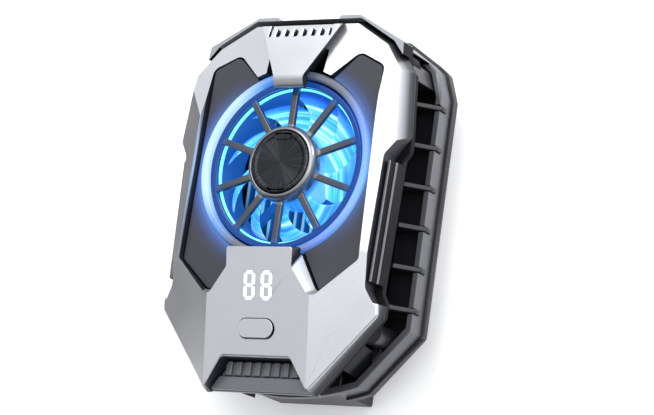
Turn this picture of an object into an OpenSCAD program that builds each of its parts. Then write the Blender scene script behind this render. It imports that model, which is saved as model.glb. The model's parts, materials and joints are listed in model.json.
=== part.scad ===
// Clip-on phone cooling fan. +Z runs along the fan axis out of the front, +Y points to the top of the
// face and the origin is the centre of the cold plate's contact face. Millimetres.

/* [Body] */
// Width across the rear housing
body_w = 61.6; // [60.8:0.2:64]
// Fan axis to the top edge of the mid frame
top_reach = 37.1; // [36.8:0.1:38.4]
// Fan axis to the lowest point of the rear housing
bottom_reach = 52.6; // [52:0.2:55]
// Cold face to the plane of the dark inlays
face_z = 24; // [23.5:0.25:28]
// Wall of the moulded shells
wall = 1.6; // [1.2:0.1:1.8]
// Height of the front shell's rim behind the inlay plane
shell_h = 5; // [4.6:0.1:6]
// Outward lean of the front shell's side faces
shell_draft = 17; // [10:1:20]
// Outward fall of the front shell's side rails
rail_fall = 20; // [14:1:24]
// Height of the rails' inner edge above the inlays
rail_rise = 2.2; // [1.6:0.1:2.6]
// Height of the rear housing's side wall
side_wall_h = 7; // [6.4:0.2:9]
// Number of ribs in each side vent
rib_count = 6; // [4:1:6]
// Spacing of the side ribs
rib_pitch = 9.8; // [8:0.1:10]
// Thickness of a side rib
rib_t = 1.2; // [0.8:0.1:1.6]

/* [Fan] */
// Outer radius of the light ring
ring_r = 23; // [22.8:0.1:23.4]
// Width of the light ring's band
ring_band = 2; // [1.6:0.1:2.1]
// Bore radius of the fan duct
duct_r = 18.6; // [18:0.1:18.8]
// Gap between the blade tips and the duct
tip_gap = 0.5; // [0.4:0.05:0.9]
// Radius of the impeller's hub
hub_r = 9.2; // [9:0.1:10]
// Number of blades
blade_count = 9; // [5:1:11]
// Blade thickness
blade_t = 0.9; // [0.6:0.1:1.2]
// Turn of a blade from its rear edge to its front edge
blade_twist = 32; // [15:1:36]
// Sweep of a blade from hub to tip
blade_sweep = 26; // [10:1:35]
// Number of guard spokes
spoke_count = 10; // [6:1:12]
// Width of a guard spoke
spoke_w = 1.7; // [0.9:0.1:2.2]
// Outer radius of the guard's hub ring
guard_hub_r = 9.2; // [9:0.1:10]
// Radius of the hub cap
cap_r = 7.7; // [7:0.1:8.2]
// Radius of the rotor shaft
shaft_r = 1; // [0.8:0.1:1.2]

/* [Cooling stack] */
// Side of the square cold plate
plate_w = 40; // [38:0.5:40.4]
// Thickness of the cold plate
plate_t = 2; // [1.6:0.1:2.4]
// Width of the foam gasket round the thermoelectric module
gasket_w = 5; // [4.8:0.1:6.5]
// Thickness of the Peltier module
peltier_t = 3.2; // [3:0.1:3.8]
// Side of the square heat sink
sink_w = 43.6; // [42.4:0.2:44]
// Thickness of the heat sink's base
sink_base = 1.8; // [1.4:0.1:2.4]
// Number of fins
fin_count = 19; // [9:1:21]
// Fin thickness
fin_t = 0.7; // [0.5:0.05:0.9]
// How far the cold plate stands proud of the rear cover
plate_proud = 1.3; // [0.8:0.1:1.6]

/* [Display] */
// Lean of the display face
face_tilt = 11; // [9:0.5:12]
// Height of the display tongue's tip above the inlays
tongue_rise = 5.4; // [4.8:0.1:6]
// Height of a figure
digit_h = 6.8; // [5.6:0.1:7]
// Width of a figure
digit_w = 3; // [2.6:0.1:3.4]
// Spacing of the two figures
digit_pitch = 4.65; // [4.5:0.05:5]
// Stroke of a figure's segments
digit_stroke = 0.8; // [0.6:0.05:0.9]
// Length of the button
button_w = 9.6; // [8:0.1:10.4]
// Height of the button
button_h = 4.4; // [3.8:0.1:5]
// Press travel of the button
button_travel = 0.5; // [0.3:0.05:0.6]

/* [Clip] */
// Depth of the jaws behind the cold face
jaw_reach = 10; // [8:0.5:13]
// Thickness of the jaws' arms
jaw_t = 2.4; // [1.8:0.1:2.6]
// Inner face of the upper jaw above the fan axis
upper_jaw_y = 23.4; // [22.6:0.2:24]
// Width of the lower jaw's slider
slider_w = 20; // [16:0.5:20.4]

/* [Clearances] */
// Gap round pieces that seat in a pocket
fit = 0.15; // [0.05:0.05:0.25]
// Gap round pieces that slide
slide = 0.25; // [0.15:0.05:0.35]
// Radial gap of turned fits
turned = 0.04; // [0.02:0.01:0.08]
// Shadow gap round the inlays
shadow_gap = 0.5; // [0.3:0.05:0.7]

/* [Hidden] */
$fn = 64;
big = 200;
half_w = body_w / 2;
peltier_w = plate_w - 2 * gasket_w;

// Levels along the fan axis, from the back to the front
cover_z = plate_proud;
cover_t = 2;
floor_z = cover_z + cover_t;
sink_z = plate_t + peltier_t;
side_top = cover_z + side_wall_h;
shell_z = face_z - shell_h;
deck_t = 1.5;
deck_z = shell_z - deck_t;
duct_z = deck_z - 5;
duct_top = face_z - 1.5;
inlay_t = 1.2;
seat_z = face_z - inlay_t;
fin_top = duct_z - 0.3;
guard_t = 1.3;
hub_rise = 3.6;
hub_floor = 1.6;

// Half outlines, right side from top to bottom
shell_half = [
    [half_w - 16.4, top_reach - 1.2],
    [half_w - 6.8, top_reach - 7],
    [half_w - 1.1, top_reach - 14.1],
    [half_w + 0.4, 6],
    [half_w - 0.6, -35.6],
    [15.2, -bottom_reach - 1.7]
];
band_half = [
    [half_w - 16.7, top_reach],
    [half_w - 4, top_reach - 7],
    [half_w - 3.2, top_reach - 16]
];
housing_half = [
    [half_w - 13.9, top_reach - 1.4],
    [half_w - 4.9, top_reach - 7.5],
    [half_w - 2.3, top_reach - 9.6],
    [half_w, top_reach - 16.1],
    [half_w, -36],
    [19, 3.1 - bottom_reach],
    [14, -bottom_reach - 2]
];
bottom_arc_r = 59.8;
inlay_half = [
    [16.7, 26.7],
    [23.2, 23.5],
    [24.2, -23.2],
    [15.1, -31.2],
    [9, -21.1],
    [10.2, 20.6]
];
// Corner radius of the inlays, and lean of the shell's walls over each of their edges
inlay_corner = 1.7;
inlay_lean = [20, 20, 12, 30, 0, 8];
// Waist recess in the side of the front shell, and of the mid frame behind it
waist_x = half_w - 4.4;
lip_x = waist_x + 0.5;
lip_t = 0.9;
waist_wall_x = waist_x + 2;

// Display tongue and the wings beside it
tip_y = -21.4;
fold_x = 14;
wing_slope = 0.32;
rail_x = half_w - 6.5;
split_y = tip_y - 3;
// Top tongue
crest_y = 20.3;
crest_rise = 4.2;
crest_w = 8.2;
crest_lean = -16;
lip_under = 1.6;
crest_lip = 2.2;
lip_tilt = 24;
crown_tilt = 13;
crown_w = 22;
// Bottom notch
notch_y = -46.5;
notch_w = 19;
notch_flare = 27.6;
// Notch in the top edge of the top tongue, with teeth across it
louvre_count = 7;
louvre_pitch = 2.45;
tooth_w = 1.35;
louvre_y = 32.2;
louvre_l = 2.2;
notch_x = 8.6;
slot_w = louvre_pitch - tooth_w;
// Arms beside the top tongue, and the gaps between them
corner_xy = [half_w - 10.9, 25.8];
corner_way = facing(shell_half[0], shell_half[1]);
arm_xy = [7.9, 21.8];
arm_way = 107.7;
arm_fall = 10.7;
arm_under = 2.4;
gap_tip_y = louvre_y - 4.2;
// Ribbed strip in the notch
grille_ribs = 8;
grille_pitch = 2.6;
grille_l = 3.4;
// Pieces on and behind the display face
digit_y = -30.2;
button_y = -40;
board_y = -36;
board_drop = 3.4;
board_t = 1;
board_w = 16;
board_l = 17;

// Clip
slider_z = floor_z + slide;
slider_t = 2.6;
slider_in_y = -24;
jaw_y = 1.8 - bottom_reach;
jaw_lip = 3;
lip_h = 1.8;
flange_t = 1.2;
pad_t = 1.2;
spring_r = 1.2;
spring_gap = 0.2;
spring_x = slider_w / 2 + slide + spring_r + spring_gap;
channel_x = spring_x + spring_r + 2 * spring_gap;
jaw_w = 2 * (channel_x - slide);
guide_z = slider_z + slider_t + slide;
guide_t = 1.2;
rail_w = 3.4;
guide_w = 2 * (channel_x + rail_w);
guide_screw_r = 0.8;
small_head_r = 1.5;
small_head_h = 0.8;
pocket_in_y = slider_in_y + 1.4;
guide_out_y = jaw_y + 4.5;
guide_l = -sink_w / 2 - 0.4 - guide_out_y;
guide_cut = 4;
guide_screw_y = [guide_out_y + 5.4, guide_out_y + guide_l - 2];

// Fasteners and posts
post_r = 2.7;
boss_h = 4;
screw_r = 1;
head_r = 1.9;
head_h = 1.1;
post_xy = [[half_w - 6.4, 26.2], [half_w - 7.2, -37.6]];
ear_r = 23.2;
ear_t = 1.6;
plate_screw_xy = plate_w / 2 - 2.4;

// Low end of the rear housing's high top wall
high_wall_y = top_reach - 8;
// Dark blocks in the corners of the rear housing
block_x = half_w - 10.2;
block_y = sink_w / 2 + 0.4;
block_l = 8;
block_rise = 2.8;
block_mid = housing_half[4] + 0.76 * (housing_half[5] - housing_half[4]);
// Lowest side rib, and the strip under the ribs
rib_y0 = -31;
strip_t = 0.7;
// USB socket in the top wall
usb_w = 8.9;
usb_h = 3.2;
usb_l = 7.3;
usb_board_t = 1;
usb_z = sink_z + usb_board_t + usb_h / 2;
usb_y = top_reach - 1.2;

// Closes a half outline into a whole one
function both(half) = concat(half, [for (i = [len(half) - 1:-1:0]) [-half[i][0], half[i][1]]]);
// Azimuth that the edge from a to b of a clockwise outline faces
function facing(a, b) = atan2(b[0] - a[0], a[1] - b[1]);
// Height of the display face above the inlays at y
function face_rise(y) = tongue_rise + tan(face_tilt) * (y - tip_y);
// Copies children to both sides of the symmetry plane
module both_sides() for (side = [0, 1]) mirror([side, 0, 0]) children();

// Half space outside the plane through p whose outward normal has azimuth az and elevation el
module outside(p, az, el, depth = 0)
    translate(p) rotate([0, 90 - el, az]) translate([-big / 2, -big / 2, -depth]) cube(big);

// Outward normal of the edge from a to b of a clockwise outline
function outward(a, b) = [a[1] - b[1], b[0] - a[0]] / norm(b - a);
// Clockwise outline with each edge moved outwards by its own distance
function moved(points, by) = [for (i = [0:len(points) - 1]) let (
    n = len(points),
    j = (i + n - 1) % n,
    u = outward(points[j], points[i]),
    v = outward(points[i], points[(i + 1) % n]),
    det = u[0] * v[1] - u[1] * v[0]
) points[i] + [by[j] * v[1] - by[i] * u[1], by[i] * u[0] - by[j] * v[0]] / det];

// Outline with rounded corners
module rounded(points, r) offset(r = r, $fn = 24) offset(delta = -r) polygon(points);

// Rounded prism over a clockwise outline, with each side leaning outwards
module flared_prism(points, r, z, h, leans) hull() {
    translate([0, 0, z]) linear_extrude(0.01) rounded(points, r);
    translate([0, 0, z + h]) linear_extrude(0.01) rounded(moved(points, [for (a = leans) h * tan(a)]), r);
}

// Places children on the display face at height y, with local +Z out of the face
module on_face(y) translate([0, y, face_z + face_rise(y)]) rotate([face_tilt, 0, 0]) children();

module pill(w, h) {
    square([w - h, h], center = true);
    for (s = [-1, 1]) translate([s * (w - h) / 2, 0]) circle(h / 2);
}

module ring(r_out, r_in, h) linear_extrude(h) difference() {
    circle(r_out);
    circle(r_in);
}

module at_posts() both_sides() for (p = post_xy) translate([p[0], p[1], 0]) children();

module screw(length) {
    cylinder(r = head_r, h = head_h);
    translate([0, 0, head_h]) cylinder(r = screw_r, h = length);
}

// Waist recess of one side, as far in as x
module waist(x) polygon([
    [x, -29.4],
    [x + 0.9, 2],
    [x + 6, 9.6],
    [big, 9.6],
    [big, -33.2],
    [x + 1.8, -32.6]
]);

// Gaps between the top tongue and the arms beside it
module tongue_gaps() both_sides() polygon([
    [crest_w / 4 - 1, crest_y - 2],
    [crest_w / 4 - 1, gap_tip_y],
    [8.1, gap_tip_y],
    [arm_xy[0], arm_xy[1]],
    [arm_xy[0] - 0.2, crest_y - 2]
]);

// Opening of the front shell that the inlays and the ring show through
module face_opening() {
    both_sides() offset(delta = shadow_gap) rounded(inlay_half, inlay_corner);
    circle(ring_r + shadow_gap);
}

module notch_outline() polygon([
    [-notch_w / 2, notch_y],
    [notch_w / 2, notch_y],
    [notch_flare / 2, -bottom_reach - 0.6],
    [notch_flare / 2, -big],
    [-notch_flare / 2, -big],
    [-notch_flare / 2, -bottom_reach - 0.6]
]);

// Space under the top tongue that the arms leave free
module crown_face() polygon(both([
    [crest_w / 2 - arm_under, crest_y - crest_lip - 2],
    [crest_w / 2 - arm_under, crest_y],
    [crown_w / 2 - arm_under, louvre_y],
    [crown_w / 2 - arm_under, big]
]));

// Cuts children along the side rails' fall and the wings' slope, drawn in by inset
module cut_rails(inset) difference() {
    children();
    both_sides() {
        outside([rail_x, 0, face_z + rail_rise], 0, 90 - rail_fall, inset);
        outside(
            [fold_x, tip_y, face_z + tongue_rise],
            atan2(-tan(face_tilt), wing_slope),
            atan(1 / norm([wing_slope, tan(face_tilt)])),
            inset
        );
    }
}

// Solid under the side rails and the top corners, drawn in by inset
module rail_blank(inset) difference() {
    cut_rails(inset) translate([0, 0, shell_z - inset]) linear_extrude(shell_h + rail_rise) difference() {
        translate([-body_w, split_y]) square([2 * body_w, big]);
        offset(delta = -inset) crown_face();
        offset(delta = inset) tongue_gaps();
        circle(ring_r + shadow_gap);
    }
    both_sides() {
        outside([corner_xy[0], corner_xy[1], face_z + rail_rise], corner_way, 90 - rail_fall, inset);
        outside([arm_xy[0], arm_xy[1], face_z + rail_rise], arm_way, 90 - arm_fall, inset);
    }
}

// Solid under the display face, its tongue and the wings, drawn in by inset
module display_blank(inset) difference() {
    cut_rails(inset) translate([0, 0, shell_z - inset])
        linear_extrude(shell_h + tongue_rise + 1) polygon(both([
        [fold_x, tip_y + 1.2],
        [rail_x - 2, tip_y + 0.5],
        [rail_x - 2, split_y],
        [body_w, split_y],
        [body_w, -big / 2]
    ]));
    outside([0, tip_y, face_z + tongue_rise], -90, 90 - face_tilt, inset);
    outside([0, tip_y, face_z + tongue_rise], 90, 14, inset);
}

// Solid under the top tongue and its lip, drawn in by inset
module crown_blank(inset) difference() {
    union() {
        difference() {
            translate([-crown_w, crest_y - 0.3, face_z - 1 - inset])
                cube([2 * crown_w, big / 4, crest_rise + 2 + inset]);
            both_sides() outside(
                [crest_w / 2, crest_y, face_z + crest_rise],
                facing([crown_w / 2, louvre_y], [crest_w / 2, crest_y]),
                crest_lean,
                inset
            );
        }
        translate([inset - crest_w / 2, crest_y - crest_lip - 0.6, face_z + lip_under])
            cube([crest_w - 2 * inset, crest_lip + 1, crest_rise]);
    }
    outside([0, crest_y, face_z + crest_rise], 90, 90 - crown_tilt, inset);
    outside([0, crest_y, face_z + crest_rise], -90, 90 - lip_tilt, inset);
    outside([0, crest_y - crest_lip, face_z + crest_rise - crest_lip * tan(lip_tilt)], -90, 12, inset);
}

// Outer form of the front shell, drawn in by inset
module shell_blank(inset = 0) difference() {
    union() {
        rail_blank(inset);
        display_blank(inset);
        crown_blank(inset);
    }
    rim = both(shell_half);
    n = len(rim);
    for (i = [0:n - 1])
        outside([rim[i][0], rim[i][1], shell_z], facing(rim[i], rim[(i + 1) % n]), shell_draft, inset);
    translate([0, 0, shell_z - inset - 1]) linear_extrude(big)
        both_sides() offset(delta = inset) waist(waist_x);
}

// One seven-segment figure with cut corners
module digit(grow) {
    across = digit_w - digit_stroke;
    up = (digit_h - digit_stroke) / 2;
    gap = 0.16;
    offset(delta = grow) {
        for (k = [-1:1]) translate([0, k * up]) polygon([
            [-across / 2 + gap, 0],
            [-across / 2 + gap + digit_stroke / 2, digit_stroke / 2],
            [across / 2 - gap - digit_stroke / 2, digit_stroke / 2],
            [across / 2 - gap, 0],
            [across / 2 - gap - digit_stroke / 2, -digit_stroke / 2],
            [-across / 2 + gap + digit_stroke / 2, -digit_stroke / 2]
        ]);
        for (sx = [-1, 1], sy = [-1, 1]) translate([sx * across / 2, sy * up / 2]) polygon([
            [0, -up / 2 + gap],
            [digit_stroke / 2, -up / 2 + gap + digit_stroke / 2],
            [digit_stroke / 2, up / 2 - gap - digit_stroke / 2],
            [0, up / 2 - gap],
            [-digit_stroke / 2, up / 2 - gap - digit_stroke / 2],
            [-digit_stroke / 2, -up / 2 + gap + digit_stroke / 2]
        ]);
    }
}

module digits(grow) for (s = [-1, 1]) translate([s * digit_pitch / 2, 0]) digit(grow);

// Silver moulded face
module front_shell() color("silver") difference() {
    union() {
        difference() {
            shell_blank();
            shell_blank(wall);
        }
        intersection() {
            shell_blank();
            translate([0, 0, shell_z]) linear_extrude(big) {
                offset(delta = wall) face_opening();
                offset(delta = wall) notch_outline();
            }
        }
    }
    translate([0, 0, shell_z - 1]) linear_extrude(shell_h + 1 + lip_under) face_opening();
    both_sides() flared_prism(inlay_half, inlay_corner, face_z, 8, inlay_lean);
    translate([0, 0, shell_z - 1]) linear_extrude(big) notch_outline();
    translate([0, 0, face_z - 0.6]) linear_extrude(8) difference() {
        translate([-notch_x, louvre_y - louvre_l / 2]) square([2 * notch_x, big]);
        for (i = [0:louvre_count - 1])
            translate([(i - (louvre_count - 1) / 2) * louvre_pitch - tooth_w / 2, 0])
                square([tooth_w, louvre_y + louvre_l / 2]);
    }
    on_face(button_y) translate([0, 0, -wall - 2])
        linear_extrude(8) pill(button_w + 2 * slide, button_h + 2 * slide);
    on_face(digit_y) translate([0, 0, -wall - 2]) linear_extrude(8) digits(fit / 3);
}

module inlay() color("#484a52") difference() {
    translate([0, 0, seat_z]) linear_extrude(inlay_t) rounded(inlay_half, inlay_corner);
    translate([0, 0, seat_z - 1]) cylinder(r = ring_r + fit, h = inlay_t + 2);
}

module right_inlay() inlay();

module left_inlay() mirror([1, 0, 0]) inlay();

module light_ring() color("lightskyblue") translate([0, 0, seat_z])
    rotate_extrude() polygon([
        [ring_r - ring_band, 0],
        [ring_r, 0],
        [ring_r, inlay_t],
        [ring_r - 0.5, inlay_t + 0.6],
        [ring_r - ring_band + 0.4, inlay_t + 0.6],
        [ring_r - ring_band, inlay_t]
    ]);

module led_board() color("darkgreen") translate([0, 0, seat_z - board_t])
    ring(ring_r - fit, ring_r - ring_band + fit, board_t);

module glow_ring() color("cyan") translate([0, 0, duct_top - 0.9]) ring(duct_r + 0.45, duct_r + 0.05, 0.9);

module fan_guard() color("dimgray") difference() {
    union() {
        translate([0, 0, duct_top]) ring(duct_r + 2, duct_r + 0.6, guard_t);
        translate([0, 0, duct_top]) rotate_extrude() polygon([
            [0, 0],
            [guard_hub_r, 0],
            [guard_hub_r, hub_rise - 0.7],
            [guard_hub_r - 0.7, hub_rise],
            [cap_r + fit, hub_rise],
            [cap_r + fit, hub_floor],
            [0, hub_floor]
        ]);
        for (i = [0:spoke_count - 1]) rotate(i * 360 / spoke_count + 18)
            translate([guard_hub_r - 0.4, -spoke_w / 2, duct_top])
                cube([duct_r + 1.6 - guard_hub_r, spoke_w, guard_t]);
    }
    for (i = [0:spoke_count - 1]) rotate((i + 0.5) * 360 / spoke_count + 18)
        translate([guard_hub_r - 0.5, -1, duct_top - 1]) cube([2, 2, 2.4]);
}

module hub_cap() color("#303238") translate([0, 0, duct_top + hub_floor]) difference() {
    rotate_extrude() polygon([
        [0, 0],
        [cap_r, 0],
        [cap_r, 1.9],
        [cap_r - 0.4, 2.2],
        [cap_r - 1.1, 2.2],
        [cap_r - 1.4, 1.9],
        [0, 1.9]
    ]);
    for (s = [0, 180]) rotate(s) translate([-1.6, cap_r - 1, 1.5]) cube([3.2, 2, 2]);
}

module power_button() color("whitesmoke") on_face(button_y) {
    translate([0, 0, -wall - 0.3]) linear_extrude(wall + 0.8) pill(button_w, button_h);
    translate([0, 0, -wall - 0.6]) linear_extrude(0.5) pill(button_w + 1.4, button_h + 1.4);
}

module digit_light_guide() color("white") on_face(digit_y) {
    translate([0, 0, -wall - 0.1]) linear_extrude(wall + 0.1) digits(0);
    translate([0, 0, -board_drop]) linear_extrude(board_drop - wall - 0.1)
        square([digit_pitch + digit_w + 1.6, digit_h + 1.2], center = true);
}

module control_board() color("darkgreen") on_face(board_y)
    translate([-board_w / 2, -board_l / 2, -board_drop - board_t]) cube([board_w, board_l, board_t]);

module tact_switch() color("black") on_face(button_y) translate([0, 0, -board_drop]) {
    translate([-2, -2, 0]) cube([4, 4, 0.5]);
    cylinder(r = 1.1, h = board_drop - wall - 0.6 - button_travel - 0.05);
}

module top_vent_insert() color("#22242a") difference() {
    translate([-notch_x, louvre_y - 2, shell_z]) cube([2 * notch_x, 3.4, shell_h - 2.1]);
    for (i = [0:louvre_count])
        translate([(i - louvre_count / 2) * louvre_pitch - slot_w / 2, louvre_y - 3, shell_z + 1])
            cube([slot_w, 6, shell_h]);
}

module bottom_grille() color("#6a6d74") intersection() {
    translate([0, 0, shell_z]) linear_extrude(2) offset(delta = -0.3) notch_outline();
    translate([0, notch_y - 0.4, shell_z]) {
        translate([-notch_flare / 2, -grille_l, 0]) cube([notch_flare, grille_l, 0.8]);
        for (i = [0:grille_ribs - 1]) translate([(i - (grille_ribs - 1) / 2) * grille_pitch, 0, 0.8])
            translate([-grille_pitch / 2 + 0.45, -grille_l, 0]) cube([grille_pitch - 0.9, grille_l, 1]);
    }
}

// Mid frame outline behind the front shell
module frame_outline() difference() {
    union() {
        offset(delta = -0.5) polygon(both(shell_half));
        polygon(both(band_half));
    }
    both_sides() waist(waist_wall_x);
}

module mid_frame() color("#8b8e96") difference() {
    union() {
        translate([0, 0, deck_z]) linear_extrude(deck_t) frame_outline();
        translate([0, 0, shell_z]) linear_extrude(shell_h - inlay_t) offset(delta = -fit) face_opening();
        translate([0, 0, shell_z]) linear_extrude(shell_h - 1.7) difference() {
            polygon(both(band_half));
            offset(delta = 0.35) polygon(both(shell_half));
            translate([-big / 2, -big + top_reach - 16]) square(big);
            translate([0, top_reach]) square([17, 1.6], center = true);
        }
        both_sides() intersection() {
            translate([0, 0, shell_z]) linear_extrude(shell_h - 2.6) difference() {
                waist(lip_x);
                waist(waist_wall_x);
            }
            translate([0, -28, 0]) cube([half_w, 29, big]);
        }
        both_sides() intersection() {
            translate([0, 0, shell_z]) linear_extrude(shell_h - 0.3) difference() {
                waist(lip_x);
                waist(lip_x + lip_t);
            }
            translate([0, -28, 0]) cube([half_w, 29, big]);
        }
        translate([0, 0, shell_z]) linear_extrude(1.4) intersection() {
            offset(delta = -0.4) notch_outline();
            translate([-big / 2, -bottom_reach - 1]) square([big, 3.2]);
        }
        at_posts() translate([0, 0, deck_z - boss_h]) cylinder(r = post_r, h = boss_h);
        both_sides() intersection() {
            on_face(board_y) translate([board_w / 2 - 2, -board_l / 2 + 2, -board_drop - board_t - 12])
                cylinder(r = 1.4, h = 12);
            translate([-big / 2, -big / 2, shell_z - 0.1]) cube(big);
        }
    }
    translate([0, 0, deck_z - 1]) cylinder(r = duct_r + 2 + fit, h = 20);
    translate([0, 0, seat_z - board_t]) ring(ring_r + fit, ring_r - ring_band - 1, 4);
    at_posts() translate([0, 0, deck_z - boss_h - 1]) cylinder(r = screw_r + turned, h = boss_h + deck_t);
    for (a = [45:90:315]) rotate(a) translate([ear_r, 0, deck_z - 1]) cylinder(r = screw_r + turned, h = 4);
    both_sides() translate([0, 0, seat_z]) linear_extrude(big)
        offset(delta = fit) rounded(inlay_half, inlay_corner);
}

// Swept outline of a blade
module blade_outline() {
    steps = 6;
    r0 = hub_r - 0.6;
    r1 = duct_r - tip_gap;
    function spot(k, side) =
        let (t = k / steps, r = r0 + (r1 - r0) * t, a = blade_sweep * t * t)
        [r * cos(a) - side * blade_t / 2 * sin(a), r * sin(a) + side * blade_t / 2 * cos(a)];
    intersection() {
        polygon(concat([for (k = [0:steps]) spot(k, -1)], [for (k = [steps:-1:0]) spot(k, 1)]));
        circle(r1);
    }
}

hub_top = duct_top - 0.9;
hub_z = duct_z + 1.8;
cup_wall = 0.9;
yoke_r = hub_r - cup_wall - turned;
magnet_r = yoke_r - 0.7;
core_r = magnet_r - 1.1;
sleeve_r = shaft_r + turned + 0.9;
tube_r = sleeve_r + turned + 0.7;
motor_z = duct_z + 1.2;

module impeller() color("deepskyblue") {
    translate([0, 0, hub_z]) rotate_extrude() polygon([
        [shaft_r + turned / 2, hub_top - hub_z - 3],
        [tube_r - 0.4, hub_top - hub_z - 3],
        [tube_r - 0.4, hub_top - hub_z - 1],
        [hub_r - cup_wall, hub_top - hub_z - 1],
        [hub_r - cup_wall, 0],
        [hub_r, 0],
        [hub_r, hub_top - hub_z - 0.8],
        [hub_r - 0.8, hub_top - hub_z],
        [shaft_r + turned / 2, hub_top - hub_z]
    ]);
    for (i = [0:blade_count - 1]) rotate(i * 360 / blade_count) translate([0, 0, hub_z + 0.4])
        linear_extrude(hub_top - hub_z - 1.4, twist = -blade_twist, slices = 6) blade_outline();
}

module rotor_yoke() color("gray") translate([0, 0, hub_z + 0.2])
    ring(yoke_r, magnet_r + turned, hub_top - hub_z - 1.4);

module rotor_magnet() color("#2b2b2e") translate([0, 0, hub_z + 0.2])
    ring(magnet_r, magnet_r - 0.8, hub_top - hub_z - 1.8);

module rotor_shaft() color("silver") translate([0, 0, motor_z + 0.4])
    cylinder(r = shaft_r, h = hub_top - motor_z - 0.4);

module bearing_sleeve() color("peru") translate([0, 0, motor_z])
    ring(sleeve_r, shaft_r + turned, hub_top - 3.4 - motor_z);

module stator_core() color("slategray") translate([0, 0, motor_z + 1.4]) linear_extrude(2.6) difference() {
    union() {
        circle(tube_r + 0.9);
        for (a = [0:90:270]) rotate(a) translate([0, -0.8]) square([core_r - 0.4, 1.6]);
        intersection() {
            difference() {
                circle(core_r);
                circle(core_r - 0.9);
            }
            for (a = [0:90:270]) rotate(a) polygon([[0, 0], [10, -7], [10, 7]]);
        }
    }
    circle(tube_r + turned);
}

module stator_coils() color("chocolate") for (a = [0:90:270]) rotate(a)
    translate([(tube_r + core_r) / 2 - 0.1, 0, motor_z + 2.7]) difference() {
        cube([core_r - tube_r - 2.2, 3.2, 4], center = true);
        cube([big, 1.7, 2.7], center = true);
    }

module fan_frame() color("#26282e") difference() {
    union() {
        translate([0, 0, duct_z]) ring(duct_r + 2, duct_r, duct_top - duct_z);
        for (a = [45:90:315]) rotate(a) translate([0, 0, deck_z - ear_t]) {
            translate([ear_r, 0, 0]) cylinder(r = 2.3, h = ear_t);
            translate([duct_r + 1, -1.8, 0]) cube([ear_r - duct_r - 1, 3.6, ear_t]);
        }
        translate([0, 0, duct_z]) cylinder(r = hub_r - 0.4, h = motor_z - duct_z);
        for (a = [45:90:315]) rotate(a) translate([hub_r - 1, -1.1, duct_z])
            cube([duct_r - hub_r + 1.6, 2.2, 1.2]);
        translate([0, 0, motor_z]) ring(tube_r, sleeve_r + turned, hub_top - 3.4 - motor_z);
    }
    translate([0, 0, duct_top - 0.9]) cylinder(r = duct_r + 0.5, h = 2);
    for (a = [45:90:315]) rotate(a) translate([ear_r, 0, deck_z - 5]) cylinder(r = screw_r + turned, h = 10);
}

module fan_screws() color("silver") for (a = [45:90:315]) rotate(a)
    translate([ear_r, 0, deck_z - ear_t - head_h]) screw(ear_t + 2.4);

module heat_sink() color("gainsboro") rotate(90) difference() {
    translate([-sink_w / 2, -sink_w / 2, sink_z]) {
        cube([sink_w, sink_w, sink_base]);
        pitch = (sink_w - fin_t) / (fin_count - 1);
        for (i = [0:fin_count - 1]) translate([0, i * pitch, 0]) cube([sink_w, fin_t, fin_top - sink_z]);
    }
    for (sx = [-1, 1], sy = [-1, 1]) translate([sx * plate_screw_xy, sy * plate_screw_xy, sink_z - 1])
        cylinder(r = screw_r + turned, h = 2.4);
}

module peltier_module() color("white") translate([0, 0, plate_t + peltier_t / 2]) {
    plate = 0.8;
    for (s = [-1, 1]) translate([0, 0, s * (peltier_t - plate) / 2])
        cube([peltier_w, peltier_w, plate], center = true);
    cube([peltier_w - 1.4, peltier_w - 1.4, peltier_t - plate], center = true);
}

module foam_gasket() color("#1d1d20") translate([0, 0, plate_t]) linear_extrude(peltier_t) difference() {
    square(plate_w, center = true);
    square(peltier_w + 2 * fit, center = true);
    for (sx = [-1, 1], sy = [-1, 1])
        translate([sx * plate_screw_xy, sy * plate_screw_xy]) circle(screw_r + slide);
}

module cold_plate() color("silver") difference() {
    linear_extrude(plate_t) offset(r = 2) square(plate_w - 4, center = true);
    for (sx = [-1, 1], sy = [-1, 1]) translate([sx * plate_screw_xy, sy * plate_screw_xy, -1]) {
        cylinder(r = screw_r + slide, h = 5);
        cylinder(r = head_r + slide, h = 1 + head_h + 0.2);
    }
}

module plate_screws() color("silver") for (sx = [-1, 1], sy = [-1, 1])
    translate([sx * plate_screw_xy, sy * plate_screw_xy, 0.2]) screw(sink_z + 1.2 - 0.2 - head_h);

// Guide plate's outline, its two outer corners cut
module guide_outline() polygon(both([
    [guide_w / 2, guide_out_y + guide_l],
    [guide_w / 2, guide_out_y + guide_cut],
    [guide_w / 2 - guide_cut, guide_out_y]
]));

// Plain outline of the rear housing
module housing_outline() intersection() {
    polygon(both(housing_half));
    translate([0, bottom_arc_r - bottom_reach]) circle(bottom_arc_r, $fn = 180);
}

module rib_profile(grow) offset(delta = grow) polygon([
    [sink_w / 2 + 1, sink_z],
    [half_w - wall, sink_z],
    [half_w + 0.6, side_top - 2.6],
    [half_w + 0.6, side_top - 0.6],
    [half_w - 2, side_top + 1.6],
    [half_w - 4.6, side_top + 4],
    [sink_w / 2 + 1, side_top + 4]
]);

module ribs(grow) for (i = [0:rib_count - 1]) translate([0, rib_y0 + i * rib_pitch + rib_t / 2 + grow, 0])
    rotate([90, 0, 0]) linear_extrude(rib_t + 2 * grow) rib_profile(grow);

// Ribs of one side on the strip that joins them
module vent_ribs() color("#2a2c33") {
    ribs(0);
    translate([sink_w / 2 + 0.4, rib_y0 - rib_t, sink_z])
        cube([half_w - wall - fit - sink_w / 2 - 0.4, (rib_count - 1) * rib_pitch + 2 * rib_t, strip_t]);
}

module right_vent_ribs() vent_ribs();

module left_vent_ribs() mirror([1, 0, 0]) vent_ribs();

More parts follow.
